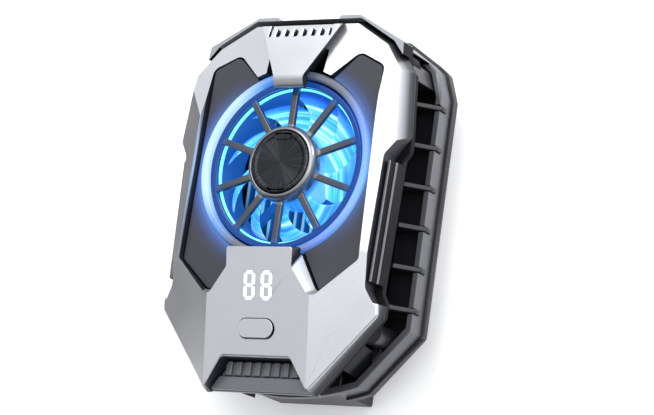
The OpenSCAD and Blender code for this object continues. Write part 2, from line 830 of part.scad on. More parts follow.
module rear_housing() color("#b4b7be") difference() {
    union() {
        translate([0, 0, floor_z]) linear_extrude(sink_z - floor_z) housing_outline();
        translate([0, 0, floor_z]) linear_extrude(side_top - floor_z) difference() {
            housing_outline();
            offset(delta = -wall) housing_outline();
        }
        translate([0, 0, floor_z]) linear_extrude(deck_z - floor_z) difference() {
            housing_outline();
            offset(delta = -wall) housing_outline();
            translate([-big / 2, high_wall_y - big]) square([big, big]);
        }
        translate([0, 0, floor_z]) linear_extrude(guide_z - floor_z) guide_outline();
    }
    translate([0, 0, floor_z - 1]) linear_extrude(20) square(plate_w + 2 * fit, center = true);
    translate([-channel_x, -big, floor_z - 1])
        cube([2 * channel_x, big + pocket_in_y, guide_z - floor_z + 1]);
    both_sides() ribs(fit);
    post_bore();
    translate([0, top_reach - 4, usb_z]) rotate([-90, 0, 0])
        linear_extrude(big) pill(usb_w + 2 * fit, usb_h + 2 * fit);
    both_sides() for (y = guide_screw_y) translate([channel_x + rail_w / 2, y, floor_z - 1])
        cylinder(r = guide_screw_r + turned, h = big);
}

// Screw hole of a post and the seat of the boss above it
module post_bore() at_posts() {
    translate([0, 0, -1]) cylinder(r = screw_r + slide, h = big);
    translate([0, 0, deck_z - boss_h]) cylinder(r = post_r + fit, h = big);
}

// Dark block round an upper post, inside the housing's wall
module upper_block() color("#24262b") difference() {
    translate([0, 0, sink_z]) linear_extrude(deck_z - 0.2 - sink_z) intersection() {
        offset(delta = -wall - fit) housing_outline();
        translate([block_x, block_y]) square([big, high_wall_y - block_y]);
    }
    post_bore();
}

module right_upper_block() upper_block();

module left_upper_block() mirror([1, 0, 0]) upper_block();

// Dark wedge beside the lower chamfer, joined to the lower post
module lower_block() color("#24262b") difference() {
    intersection() {
        translate([0, 0, sink_z]) linear_extrude(big) offset(delta = -wall - fit) housing_outline();
        union() {
            translate([block_mid[0], block_mid[1], 0]) rotate(facing(housing_half[4], housing_half[5]))
                rotate([90, 0, 0]) translate([0, 0, -block_l / 2]) linear_extrude(block_l) polygon([
                    [-wall - 1.4, sink_z - 1],
                    [-wall - 1.4, side_top - 1.4],
                    [-wall - 3.4, side_top + block_rise],
                    [-wall - 4.4, side_top + block_rise],
                    [-wall - 4.4, sink_z - 1]
                ]);
            translate([post_xy[1][0], post_xy[1][1], 0]) cylinder(r = post_r, h = deck_z - boss_h);
            translate([post_xy[1][0] - 1.9, block_mid[1] + 1, 0])
                cube([2, post_xy[1][1] - block_mid[1] - 1, side_top]);
        }
    }
    post_bore();
    translate([0, 0, floor_z]) linear_extrude(guide_z + guide_t + fit - floor_z)
        offset(delta = fit) guide_outline();
}

module right_lower_block() lower_block();

module left_lower_block() mirror([1, 0, 0]) lower_block();

module rear_cover() color("#33353c") difference() {
    translate([0, 0, cover_z]) linear_extrude(cover_t) offset(delta = 0.7) housing_outline();
    translate([0, 0, -1]) linear_extrude(20) square(plate_w + 2 * fit, center = true);
    translate([-jaw_w / 2 - slide, -big, -1]) cube([jaw_w + 2 * slide, big + jaw_y + jaw_t + slide, 20]);
    at_jaw_screws() cylinder(r = guide_screw_r + turned, h = 10);
    at_posts() translate([0, 0, -1]) {
        cylinder(r = screw_r + slide, h = big);
        cylinder(r = head_r + slide, h = 1 + cover_z + head_h);
    }
}

module housing_screws() color("silver") at_posts() translate([0, 0, cover_z])
    screw(deck_z + 0.3 - cover_z - head_h);

module usb_socket() color("silver") translate([0, usb_y, usb_z]) rotate([90, 0, 0]) {
    linear_extrude(usb_l) difference() {
        pill(usb_w, usb_h);
        pill(usb_w - 0.7, usb_h - 0.7);
    }
    translate([0, 0, usb_l - 1]) linear_extrude(1) pill(usb_w, usb_h);
    translate([-3.3, -0.35, 1.4]) cube([6.6, 0.7, usb_l - 2]);
}

module usb_board() color("darkgreen") translate([-7, usb_y - usb_l - 2, sink_z])
    cube([14, usb_l, usb_board_t]);

module clip_guide() color("#3a3c43") difference() {
    translate([0, 0, guide_z]) linear_extrude(guide_t) guide_outline();
    both_sides() for (y = guide_screw_y) translate([channel_x + rail_w / 2, y, guide_z - 1])
        cylinder(r = guide_screw_r + turned, h = 5);
}

module guide_screws() color("silver") both_sides() for (y = guide_screw_y)
    translate([channel_x + rail_w / 2, y, guide_z + guide_t]) rotate([180, 0, 0])
        translate([0, 0, -small_head_h]) {
        cylinder(r = small_head_r, h = small_head_h);
        cylinder(r = guide_screw_r, h = small_head_h + guide_t + 1.8);
    }

module clip_springs() color("silver") both_sides() translate([spring_x, pocket_in_y, slider_z + spring_r])
    rotate([90, 0, 0]) cylinder(r = spring_r, h = pocket_in_y - jaw_y - jaw_t - 3);

module lower_jaw() color("#3c3e45") {
    translate([-slider_w / 2, jaw_y, slider_z]) cube([slider_w, slider_in_y - jaw_y, slider_t]);
    translate([-jaw_w / 2, jaw_y, -jaw_reach]) cube([jaw_w, jaw_t, jaw_reach + slider_z + slider_t]);
    translate([-jaw_w / 2, jaw_y, -jaw_reach]) cube([jaw_w, jaw_t + jaw_lip, lip_h]);
    both_sides() translate([slider_w / 2 - 1, jaw_y, slider_z])
        cube([jaw_w / 2 - slider_w / 2 + 1, jaw_t + 2.5, slider_t]);
}

module lower_jaw_pad() color("#1c1d20") translate([-jaw_w / 2 + 1, jaw_y + jaw_t, -jaw_reach + lip_h])
    cube([jaw_w - 2, pad_t, jaw_reach - lip_h]);

module at_jaw_screws() both_sides() translate([jaw_w / 2 - 4, upper_jaw_y + pad_t + jaw_t + 3, 0]) children();

module upper_jaw() color("#3c3e45") difference() {
    union() {
        translate([-jaw_w / 2, upper_jaw_y + pad_t, -jaw_reach]) cube([jaw_w, jaw_t, jaw_reach + cover_z]);
        translate([-jaw_w / 2, upper_jaw_y + pad_t, cover_z - flange_t]) cube([jaw_w, jaw_t + 6, flange_t]);
        translate([-jaw_w / 2, upper_jaw_y + pad_t - jaw_lip, -jaw_reach])
            cube([jaw_w, jaw_t + jaw_lip, lip_h]);
    }
    at_jaw_screws() translate([0, 0, -1]) cylinder(r = guide_screw_r + turned, h = 5);
}

module jaw_screws() color("silver") at_jaw_screws() translate([0, 0, cover_z - flange_t - small_head_h]) {
    cylinder(r = small_head_r, h = small_head_h);
    cylinder(r = guide_screw_r, h = small_head_h + flange_t + cover_t);
}

module upper_jaw_pad() color("#1c1d20") translate([-jaw_w / 2 + 1, upper_jaw_y, -jaw_reach + lip_h])
    cube([jaw_w - 2, pad_t, jaw_reach - lip_h]);

front_shell();
left_inlay();
right_inlay();
light_ring();
glow_ring();
led_board();
fan_guard();
hub_cap();
power_button();
digit_light_guide();
control_board();
tact_switch();
top_vent_insert();
bottom_grille();
mid_frame();
impeller();
rotor_yoke();
rotor_magnet();
rotor_shaft();
bearing_sleeve();
stator_core();
stator_coils();
fan_frame();
fan_screws();
heat_sink();
peltier_module();
foam_gasket();
cold_plate();
plate_screws();
left_vent_ribs();
right_vent_ribs();
rear_housing();
rear_cover();
housing_screws();
usb_socket();
usb_board();
clip_guide();
guide_screws();
clip_springs();
lower_jaw();
lower_jaw_pad();
upper_jaw();
upper_jaw_pad();
jaw_screws();
left_upper_block();
right_upper_block();
left_lower_block();
right_lower_block();
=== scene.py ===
import json
import math

import bmesh
import bpy
from mathutils import Matrix, Vector

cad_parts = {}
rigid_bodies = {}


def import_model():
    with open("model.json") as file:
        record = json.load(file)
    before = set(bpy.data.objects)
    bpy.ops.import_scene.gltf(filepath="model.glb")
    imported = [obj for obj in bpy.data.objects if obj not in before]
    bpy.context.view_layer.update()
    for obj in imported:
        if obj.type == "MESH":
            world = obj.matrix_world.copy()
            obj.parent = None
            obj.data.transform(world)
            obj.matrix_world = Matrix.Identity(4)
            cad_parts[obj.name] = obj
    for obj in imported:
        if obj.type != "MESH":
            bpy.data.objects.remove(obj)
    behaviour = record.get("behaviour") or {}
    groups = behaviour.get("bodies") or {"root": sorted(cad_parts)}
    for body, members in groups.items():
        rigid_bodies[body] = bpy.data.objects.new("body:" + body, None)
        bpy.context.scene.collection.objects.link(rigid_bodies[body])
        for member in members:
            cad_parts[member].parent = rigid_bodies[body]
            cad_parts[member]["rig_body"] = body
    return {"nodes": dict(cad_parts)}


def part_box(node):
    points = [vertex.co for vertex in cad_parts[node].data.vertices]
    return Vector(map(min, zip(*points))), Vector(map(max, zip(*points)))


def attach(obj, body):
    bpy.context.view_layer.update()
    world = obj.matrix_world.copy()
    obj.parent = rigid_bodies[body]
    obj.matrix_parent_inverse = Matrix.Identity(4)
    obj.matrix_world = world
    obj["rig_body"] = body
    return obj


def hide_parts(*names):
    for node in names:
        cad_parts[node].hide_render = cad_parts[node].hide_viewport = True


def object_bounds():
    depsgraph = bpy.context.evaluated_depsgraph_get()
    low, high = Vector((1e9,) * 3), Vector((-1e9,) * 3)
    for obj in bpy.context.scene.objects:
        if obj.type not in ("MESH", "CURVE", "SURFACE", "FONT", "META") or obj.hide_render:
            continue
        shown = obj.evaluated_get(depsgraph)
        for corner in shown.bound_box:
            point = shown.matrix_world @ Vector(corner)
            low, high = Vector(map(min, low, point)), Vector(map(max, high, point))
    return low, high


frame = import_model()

cad_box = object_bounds()
scene = bpy.context.scene


# Studio: the cooler lies on its back on a sheet of white card, with wide soft boxes above its right side and behind its
# top edge, a weaker one low on the left and a small one near the upper right corner. The room is pale above and dark
# low down, and the camera stands well off.
def soft_box(name, place, size, watts):
    """A soft lamp turned to the cooler, not seen itself."""
    lamp = bpy.data.lights.new(name, "AREA")
    lamp.shape = "RECTANGLE"
    lamp.size, lamp.size_y = size
    lamp.energy = watts
    holder = bpy.data.objects.new(name, lamp)
    holder.location = place
    holder.rotation_euler = (Vector((0, 0, 0.01)) - Vector(place)).to_track_quat("-Z", "Y").to_euler()
    holder.visible_camera = False
    scene.collection.objects.link(holder)


def add_node(tree, kind, inputs, output=0, **settings):
    """Adds a node, makes its settings, and sets or links its inputs. Gives one of its outputs."""
    made = tree.nodes.new(kind)
    for key, value in settings.items():
        setattr(made, key, value)
    for key, value in inputs.items():
        if isinstance(value, bpy.types.NodeSocket):
            tree.links.new(value, made.inputs[key])
        else:
            made.inputs[key].default_value = value
    return made.outputs[output]


def along(tree, vector, way):
    """How far a vector reaches along a direction, as a socket."""
    return add_node(tree, "ShaderNodeVectorMath", {0: vector, 1: way}, "Value", operation="DOT_PRODUCT")


def ramp(tree, value, low, high, *stops):
    """Colour from a value between low and high, through stops of place and colour."""
    fit = add_node(tree, "ShaderNodeMapRange", {"Value": value, "From Min": low, "From Max": high})
    shade = tree.nodes.new("ShaderNodeValToRGB")
    while len(shade.color_ramp.elements) < len(stops):
        shade.color_ramp.elements.new(0.5)
    for stop, (place, colour) in zip(shade.color_ramp.elements, stops):
        stop.position = place
        stop.color = colour + (1,)
    tree.links.new(fit, shade.inputs["Fac"])
    return shade.outputs["Color"]


camera_data = bpy.data.cameras.new("camera")
camera_data.sensor_width = 36
camera_data.lens = 148.13
camera_data.clip_start, camera_data.clip_end = 0.05, 20
camera = bpy.data.objects.new("camera", camera_data)
right, down, ahead = (
    Vector((0.857349, 0.137483, -0.496036)),
    Vector((0.002709, -0.964862, -0.262743)),
    Vector((-0.514729, 0.223918, -0.827596)),
)
turn = Matrix((right, -down, -ahead)).transposed().to_4x4()
camera.matrix_world = Matrix.Translation((0.3340, -0.1500, 0.5394)) @ turn
scene.collection.objects.link(camera)
scene.camera = camera

card_mesh = bpy.data.meshes.new("card")
card_half = 4.0
card_z = cad_box[0].z
card_corners = ((-card_half, -card_half), (card_half, -card_half), (card_half, card_half), (-card_half, card_half))
card_mesh.from_pydata([(x, y, card_z) for x, y in card_corners], [], [(0, 1, 2, 3)])
card = bpy.data.objects.new("card", card_mesh)
scene.collection.objects.link(card)
card_paint = bpy.data.materials.new("white_card")
card_paint.use_nodes = True
card_shader = card_paint.node_tree.nodes["Principled BSDF"]
card_shader.inputs["Base Color"].default_value = (0.95, 0.95, 0.955, 1)
card_shader.inputs["Roughness"].default_value = 0.9
card_shader.inputs["Specular IOR Level"].default_value = 0.1
card_shader.inputs["Emission Color"].default_value = (1, 1, 1, 1)
card_shader.inputs["Emission Strength"].default_value = 0.22
card_mesh.materials.append(card_paint)

room = bpy.data.worlds.new("room")
room.use_nodes = True
walls = room.node_tree
wall_way = add_node(walls, "ShaderNodeTexCoord", {}, "Generated")
wall_rise = along(walls, wall_way, Vector((0.35, 0.50, 0.79)).normalized())
wall_tones = ((0.0, 0.03), (0.25, 0.07), (0.38, 0.40), (0.52, 1.0), (0.70, 1.1), (0.82, 0.84), (1.0, 0.9))
wall_stops = [(place, (0.95 * tone, 0.97 * tone, tone)) for place, tone in wall_tones]
walls.links.new(ramp(walls, wall_rise, -0.3, 1, *wall_stops), walls.nodes["Background"].inputs["Color"])
walls.nodes["Background"].inputs["Strength"].default_value = 0.9
scene.world = room
scene.view_settings.view_transform = "Standard"
soft_box("key_box", (0.45, 0.08, 0.62), (0.5, 0.6), 2.3)
soft_box("top_box", (0.0, 0.45, 0.62), (0.5, 0.35), 3.0)
soft_box("side_box", (-0.27, -0.12, 0.135), (0.08, 0.08), 0.05)
soft_box("corner_box", (0.15, 0.12, 0.05), (0.06, 0.06), 0.12)


# Cold side: a bead-blasted aluminium plate that touches the phone, a ceramic thermoelectric module on it, black foam
# round the module, and a black anodised heat sink with fins, whose blue light under the fan is painted into its finish
# as a glow. Four screws clamp the stack.
nodes = frame["nodes"]
mm = 0.001


def shader_of(material):
    return material.node_tree.nodes["Principled BSDF"]


def finish(name, colour, rough, metal=0.0, grain=0.3, tone=0.1, relief=0.01):
    """A surface with a fine grain (mm) in its colour and relief (mm), and broad patches in its roughness."""
    material = bpy.data.materials.new(name)
    material.use_nodes = True
    tree, shader = material.node_tree, shader_of(material)
    low, high, patches = 0.3, 0.7, 70
    where = add_node(tree, "ShaderNodeTexCoord", {}, "Object")
    fine = add_node(tree, "ShaderNodeTexNoise", {"Vector": where, "Scale": 1 / (grain * mm), "Detail": 3})
    broad = add_node(tree, "ShaderNodeTexNoise", {"Vector": where, "Scale": patches, "Detail": 2})
    dark, light = (tuple(min(c * factor, 1) for c in colour) for factor in (1 - tone, 1 + tone))
    gloss = add_node(tree, "ShaderNodeMapRange", {
        "Value": broad, "From Min": low, "From Max": high, "To Min": rough * 0.85, "To Max": rough * 1.15})
    bump = add_node(tree, "ShaderNodeBump", {"Height": fine, "Distance": relief * mm, "Strength": 0.5})
    shader.inputs["Metallic"].default_value = metal
    tree.links.new(ramp(tree, fine, low, high, (0.0, dark), (1.0, light)), shader.inputs["Base Color"])
    tree.links.new(gloss, shader.inputs["Roughness"])
    tree.links.new(bump, shader.inputs["Normal"])
    return material


def paint(piece, *materials):
    piece.data.materials.clear()
    for material in materials:
        piece.data.materials.append(material)


def plain_mesh(piece):
    """The mesh of an object with its modifiers worked in."""
    bpy.context.view_layer.update()
    graph = bpy.context.evaluated_depsgraph_get()
    mesh = bpy.data.meshes.new_from_object(piece.evaluated_get(graph), depsgraph=graph)
    mesh.name = piece.name
    return mesh


def settle(piece, body, slot, *replaced):
    """Turns a piece into a plain mesh with level shading on its flats, ties it to its body and hides the nodes it
    replaces. The slot is not used.
    """
    level = piece.modifiers.new("level_flats", "WEIGHTED_NORMAL")
    level.weight = 100
    level.keep_sharp = True
    mesh = plain_mesh(piece)
    piece.modifiers.clear()
    piece.data = mesh
    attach(piece, body)
    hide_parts(*replaced)
    return piece


def mesh_of(name, form):
    """Ends a form and gives its mesh, with smooth faces."""
    for face in form.faces:
        face.smooth = True
    mesh = bpy.data.meshes.new(name)
    form.to_mesh(mesh)
    form.free()
    return mesh


def edge_room(form, creased):
    """How far each creased edge can be rounded before its rounding meets another one, the same along a smooth run."""
    strip_share, width_share, side_share, straight = 0.8, 0.4, 0.45, -0.8
    room = {edge: 1.0 for edge in creased}
    for face in form.faces:
        strip = strip_share * face.calc_area() / face.calc_perimeter()
        for corner in face.loops:
            here, last = corner.edge, corner.link_loop_prev.edge
            if here in room:
                room[here] = min(room[here], strip)
                start, end = (point.co for point in here.verts)
                way = (end - start).normalized()
                for point in face.verts:
                    reach = min(max((point.co - start).dot(way), 0), (end - start).length)
                    across = point.co - start - way * reach
                    if point not in here.verts and abs(across.normalized().dot(way)) < 0.5:
                        room[here] = min(room[here], width_share * across.length)
            angle = corner.calc_angle()
            if not corner.is_convex or (here not in room and last not in room):
                continue
            if here in room and last in room:
                cap = side_share * min(here.calc_length(), last.calc_length()) * math.tan(min(angle, 3.1) / 2)
                room[here], room[last] = min(room[here], cap), min(room[last], cap)
            else:
                edge, other = (here, last) if here in room else (last, here)
                room[edge] = min(room[edge], side_share * other.calc_length() * math.sin(angle))
    todo = set(creased)
    while todo:
        run, waiting = [], [todo.pop()]
        while waiting:
            edge = waiting.pop()
            run.append(edge)
            for point in edge.verts:
                away = (edge.other_vert(point).co - point.co).normalized()
                for other in point.link_edges:
                    if other in todo and away.dot((other.other_vert(point).co - point.co).normalized()) < straight:
                        todo.remove(other)
                        waiting.append(other)
        least = min(room[edge] for edge in run)
        room.update((edge, least) for edge in run)
    return room


def folded(mesh):
    """Marks of the faces that a rounding has folded over themselves, so that their triangles overlap."""
    overlap, speck = 1.005, 0.02 * mm * mm
    mesh.calc_loop_triangles()
    spread = [0.0] * len(mesh.polygons)
    for piece in mesh.loop_triangles:
        spread[piece.polygon_index] += piece.area
    marks = mesh.attributes["home"].data
    return {marks[f.index].value for f in mesh.polygons if spread[f.index] > overlap * f.area + speck}


def moulded(node, name, radius, slot, *materials, crease=20):
    """A copy of a node with rounded edges (mm), less where faces are narrow and none where a rounding would fold."""
    form = bmesh.new()
    form.from_mesh(nodes[node].data)
    bmesh.ops.remove_doubles(form, verts=form.verts, dist=0.02 * mm)
    bmesh.ops.dissolve_limit(form, angle_limit=math.radians(0.3), verts=form.verts, edges=form.edges)
    form.edges.index_update()
    weight, home = form.edges.layers.float.new("bevel_weight_edge"), form.faces.layers.int.new("home")
    creased = set()
    for edge in form.edges:
        if len(edge.link_faces) == 2:
            steep = all(abs(face.normal.z) < 0.5 for face in edge.link_faces)
            if edge.calc_face_angle(0) > math.radians(max(crease, 20) if steep else crease):
                creased.add(edge)
    for edge, room in edge_room(form, creased).items():
        edge[weight] = min(1, room / (radius * mm))
        edge.smooth = edge[weight] > 0.02
    borders = {}
    for mark, face in enumerate(form.faces):
        face[home] = mark
        borders[mark] = [edge.index for edge in face.edges if edge in creased]
    piece = bpy.data.objects.new(name, mesh_of(name, form))
    scene.collection.objects.link(piece)
    edges = piece.modifiers.new("rounded_edges", "BEVEL")
    edges.width = radius * mm
    edges.segments = 2
    edges.limit_method = "WEIGHT"
    edges.use_clamp_overlap = False
    edges.miter_outer = "MITER_ARC"
    paint(piece, *materials)
    for _ in range(8):
        spoilt = folded(plain_mesh(piece))
        for index in (index for mark in spoilt for index in borders[mark]):
            piece.data.attributes["bevel_weight_edge"].data[index].value = 0
            piece.data.edges[index].use_edge_sharp = True
        if not spoilt:
            break
    return settle(piece, nodes[node]["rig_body"], slot, node)


blasted = finish("blasted_aluminium", (0.60, 0.61, 0.63), 0.42, metal=1.0, grain=0.14, tone=0.1, relief=0.03)
moulded("cold_plate", "contact_plate", 0.3, "plate", blasted)
paint(nodes["peltier_module"], finish("alumina", (0.78, 0.78, 0.76), 0.5, grain=0.25, tone=0.04))
foam = finish("closed_cell_foam", (0.02, 0.02, 0.022), 0.85, grain=0.5, tone=0.4, relief=0.12)
paint(nodes["foam_gasket"], foam)


def place_on(material):
    """Where a point of the piece lies (m), as a socket."""
    return next(n for n in material.node_tree.nodes if n.type == "TEX_COORD").outputs["Object"]


def fan_radius(material):
    """Distance from the fan axis (mm) and the unit direction from it, as sockets."""
    tree = material.node_tree
    flat = add_node(
        tree, "ShaderNodeVectorMath", {0: place_on(material), 1: (1 / mm, 1 / mm, 0)}, operation="MULTIPLY")
    length = add_node(tree, "ShaderNodeVectorMath", {0: flat}, "Value", operation="LENGTH")
    return length, add_node(tree, "ShaderNodeVectorMath", {0: flat}, operation="NORMALIZE")


def times(tree, a, b):
    """One colour times another."""
    colours = {"Factor": 1, 6: a, 7: b}
    return add_node(tree, "ShaderNodeMix", colours, 2, data_type="RGBA", blend_type="MULTIPLY")


def glow(material, colour, strength):
    """Makes a surface give its own light, in one colour or in a socket's colours."""
    shader = shader_of(material)
    if isinstance(colour, bpy.types.NodeSocket):
        material.node_tree.links.new(colour, shader.inputs["Emission Color"])
    else:
        shader.inputs["Emission Color"].default_value = colour + (1,)
    shader.inputs["Emission Strength"].default_value = strength


def block(low, high, radius):
    """Mesh of a box with rounded edges, from its two corners (mm)."""
    form = bmesh.new()
    bmesh.ops.create_cube(form, size=1)
    for point in form.verts:
        point.co = [(a + (c + 0.5) * (b - a)) * mm for a, b, c in zip(low, high, point.co)]
    bmesh.ops.bevel(form, geom=form.edges[:], offset=radius * mm, segments=2, affect="EDGES", profile=0.5)
    return mesh_of("block", form)


def node_tree(name, **sockets):
    """An empty geometry tree with named inputs. Gives its input end, a maker of nodes and a closer."""
    tree = bpy.data.node_groups.new(name, "GeometryNodeTree")
    tree.interface.new_socket("Geometry", in_out="INPUT", socket_type="NodeSocketGeometry")
    for label, kind in sockets.items():
        tree.interface.new_socket(label, in_out="INPUT", socket_type="NodeSocket" + kind)
    tree.interface.new_socket("finish", in_out="INPUT", socket_type="NodeSocketMaterial")
    tree.interface.new_socket("Geometry", in_out="OUTPUT", socket_type="NodeSocketGeometry")
    start, end = tree.nodes.new("NodeGroupInput"), tree.nodes.new("NodeGroupOutput")

    def add(kind, inputs, **settings):
        return add_node(tree, kind, inputs, **settings)

    def close(points, turns=(0, 0, 0), shape=start.outputs[0]):
        laid = add("GeometryNodeInstanceOnPoints", {"Points": points, "Instance": shape, "Rotation": turns})
        whole = add("GeometryNodeRealizeInstances", {"Geometry": laid})
        coated = add("GeometryNodeSetMaterial", {"Geometry": whole, "Material": start.outputs["finish"]})
        tree.links.new(coated, end.inputs[0])
        return tree

    return start.outputs, add, close


def copies(mesh, tree, **values):
    """Plain mesh of copies of a mesh, set out by a tree whose inputs are given by name."""
    holder = bpy.data.objects.new("holder", mesh)
    scene.collection.objects.link(holder)
    maker = holder.modifiers.new(tree.name, "NODES")
    maker.node_group = tree
    for item in tree.interface.items_tree:
        if item.in_out == "INPUT" and item.name in values:
            maker[item.identifier] = values[item.name]
    result = plain_mesh(holder)
    bpy.data.objects.remove(holder)
    return result


def built(name, body, slot, material, *meshes, stands_for):
    """One piece from plain meshes."""
    form = bmesh.new()
    for mesh in meshes:
        form.from_mesh(mesh)
    for face in form.faces:
        face.material_index = 0
    piece = bpy.data.objects.new(name, mesh_of(name, form))
    scene.collection.objects.link(piece)
    paint(piece, material)
    return settle(piece, body, slot, stands_for)


row, row_add, row_close = node_tree("row", count="Int", first="Vector", step="Vector")
row_index = row_add("GeometryNodeInputIndex", {})
row_shift = row_add("ShaderNodeVectorMath", {0: row["step"], "Scale": row_index}, operation="SCALE")
row_place = row_add("ShaderNodeVectorMath", {0: row["first"], 1: row_shift})
row_tree = row_close(row_add("GeometryNodePoints", {"Count": row["count"], "Position": row_place}))

anodised = finish("black_anodised", (0.035, 0.037, 0.042), 0.4, metal=0.8, grain=0.12, tone=0.2)
fin_shades = anodised.node_tree
fin_height = along(fin_shades, place_on(anodised), (0, 0, 1))
# Painted light: the fins glow blue, brighter towards their tops and fading out beyond the fan's rim.
fin_painted_light = ramp(
    fin_shades, fin_height, 0.0075, 0.01225,
    (0.0, (0.0, 0.01, 0.06)), (0.85, (0.005, 0.09, 0.42)), (0.93, (0.02, 0.20, 0.70)), (1.0, (0.30, 0.70, 1.0)))
fin_painted_light_reach = ramp(fin_shades, fan_radius(anodised)[0], 15.5, 19, (0.0, (1, 1, 1)), (1.0, (0, 0, 0)))
glow(anodised, times(fin_shades, fin_painted_light, fin_painted_light_reach), 0.8)
sink_low, sink_high = (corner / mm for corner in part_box("heat_sink"))
sink_floor, fin_t, fin_count = 1.8, 0.7, 19
fin = block((-fin_t / 2, sink_low.y, sink_low.z), (fin_t / 2, sink_high.y, sink_high.z), 0.12)
fin_gap = (sink_high.x - sink_low.x - fin_t) / (fin_count - 1)
fins = copies(
    fin, row_tree, count=fin_count, first=((sink_low.x + fin_t / 2) * mm, 0, 0), step=(fin_gap * mm, 0, 0),
    finish=anodised)
sink_base = block(sink_low, (sink_high.x, sink_high.y, sink_low.z + sink_floor), 0.15)
built("finned_sink", "cooler", "sink", anodised, sink_base, fins, stands_for="heat_sink")

pair, pair_add, pair_close = node_tree("four_corners", upper="Vector", lower="Vector")
pair_index = pair_add("GeometryNodeInputIndex", {})
pair_odd = pair_add("ShaderNodeMath", {0: pair_index, 1: 2.0}, operation="MODULO")
pair_side = pair_add("ShaderNodeMath", {0: pair_odd, 1: 2.0, 2: -1.0}, operation="MULTIPLY_ADD")
pair_low = pair_add("ShaderNodeMath", {0: pair_index, 1: 1.5}, operation="GREATER_THAN")
pair_drop = pair_add("ShaderNodeVectorMath", {0: pair["lower"], 1: pair["upper"]}, operation="SUBTRACT")
pair_fall = pair_add("ShaderNodeVectorMath", {0: pair_drop, "Scale": pair_low}, operation="SCALE")
pair_spot = pair_add("ShaderNodeVectorMath", {0: pair["upper"], 1: pair_fall})
pair_flip = pair_add("ShaderNodeCombineXYZ", {"X": pair_side, "Y": 1.0, "Z": 1.0})
pair_place = pair_add("ShaderNodeVectorMath", {0: pair_spot, 1: pair_flip}, operation="MULTIPLY")
pair_tree = pair_close(pair_add("GeometryNodePoints", {"Count": 4, "Position": pair_place}))

steel = finish("plated_steel", (0.46, 0.47, 0.49), 0.3, metal=1.0, grain=0.2, tone=0.12)


def screw(head_r, head_h, shank_r, length, up=True):
    """Mesh of a pan-head screw with a cross recess, its outer face at the origin and its shank along +Z or -Z."""
    steps, recess_floor, recess_rim, end = 24, 0.35, 0.12, head_h + length
    cross = [(0.62 if i % 6 in (0, 1, 5) else 0.2) * head_r for i in range(steps)]
    levels = [([0] * steps, recess_floor), (cross, recess_floor), (cross, recess_rim)]
    for r, z in (
            (head_r * 0.8, 0), (head_r, head_h * 0.45), (head_r, head_h), (shank_r, head_h),
            (shank_r, end - 0.4), (shank_r - 0.3, end), (0, end)):
        levels.append(([r] * steps, z))
    form = bmesh.new()
    rings = []
    for radii, z in levels:
        spread = [(r * mm, 2 * math.pi * i / steps) for i, r in enumerate(radii)]
        rings.append([form.verts.new((r * math.cos(a), r * math.sin(a), z * mm)) for r, a in spread])
    for a, b in zip(rings, rings[1:]):
        for i in range(steps):
            form.faces.new((a[i], a[i - 1], b[i - 1], b[i]))
    bmesh.ops.remove_doubles(form, verts=form.verts, dist=0.001 * mm)
    if not up:
        bmesh.ops.rotate(form, verts=form.verts, matrix=Matrix.Rotation(math.pi, 3, "X"))
    bmesh.ops.recalc_face_normals(form, faces=form.faces)
    return mesh_of("screw", form)


clamp_x, clamp_z = 17.6 * mm, 0.2 * mm
clamped = copies(
    screw(1.9, 1.1, 1.0, 5.1), pair_tree, upper=(clamp_x, clamp_x, clamp_z), lower=(clamp_x, -clamp_x, clamp_z),
    finish=steel)
built("clamp_screws", "cooler", "steel", steel, clamped, stands_for="plate_screws")


# Rear housing and cover: a grey moulded tray whose low wall leaves the sides open for the air, its inside made black as
# painted shade, and a black moulded cover behind it that stands a little proud all round.
def paint_faces_where(piece, test, index=1):
    """Gives another of its materials to the faces that a test of their middle (mm) and normal picks; here that puts
    painted shade and painted glow on chosen faces.
    """
    for face in piece.data.polygons:
        if test(face.center / mm, face.normal):
            face.material_index = index


housing_grey = finish("housing_grey", (0.125, 0.128, 0.143), 0.36, metal=0.5, grain=0.16, tone=0.06)
# Painted shade: a near-black finish with little shine for faces that lie in shade.
painted_shade_black = finish("black_painted_shade", (0.004, 0.004, 0.005), 0.6, grain=0.3, tone=0.3)
shader_of(painted_shade_black).inputs["Specular IOR Level"].default_value = 0.15
housing = moulded("rear_housing", "tray", 0.35, "light_plastic", housing_grey, painted_shade_black)
rim_floor, body_middle = 7.7, -8
# Painted shade: the tray's inner floor and inward facing walls are made black.
paint_faces_where(housing, lambda c, n: (n.z > 0.5 and c.z < rim_floor) or n.x * c.x + n.y * (c.y - body_middle) < -4)
black_plastic = finish("black_plastic", (0.014, 0.0145, 0.017), 0.4, grain=0.14, tone=0.25, relief=0.02)
moulded("rear_cover", "back_cover", 0.5, "dark_plastic", black_plastic)


# Side vents: six thin ribs on each side stand across the open wall, with a dark block in each corner. They are
# moulded in black plastic with a fine spark texture and dropped into the housing before it is closed.
rib_plastic = finish("rib_plastic", (0.012, 0.0125, 0.014), 0.3, grain=0.14, tone=0.2, relief=0.015)
for side in ("left", "right"):
    moulded(side + "_vent_ribs", side + "_ribs", 0.28, "dark_plastic", rib_plastic)
    moulded(side + "_upper_block", side + "_top_block", 0.4, "dark_plastic", rib_plastic)
    moulded(side + "_lower_block", side + "_low_block", 0.4, "dark_plastic", rib_plastic)


# Supply socket: a drawn steel shell with a tongue in it, soldered to a small green board. The board stands behind
# the top edge, and the socket's mouth shows in an opening of the housing's wall.
solder_mask = finish("solder_mask", (0.012, 0.075, 0.035), 0.3, grain=0.5, tone=0.2)
moulded("usb_socket", "socket_shell", 0.12, "steel", steel)
paint(nodes["usb_board"], solder_mask)


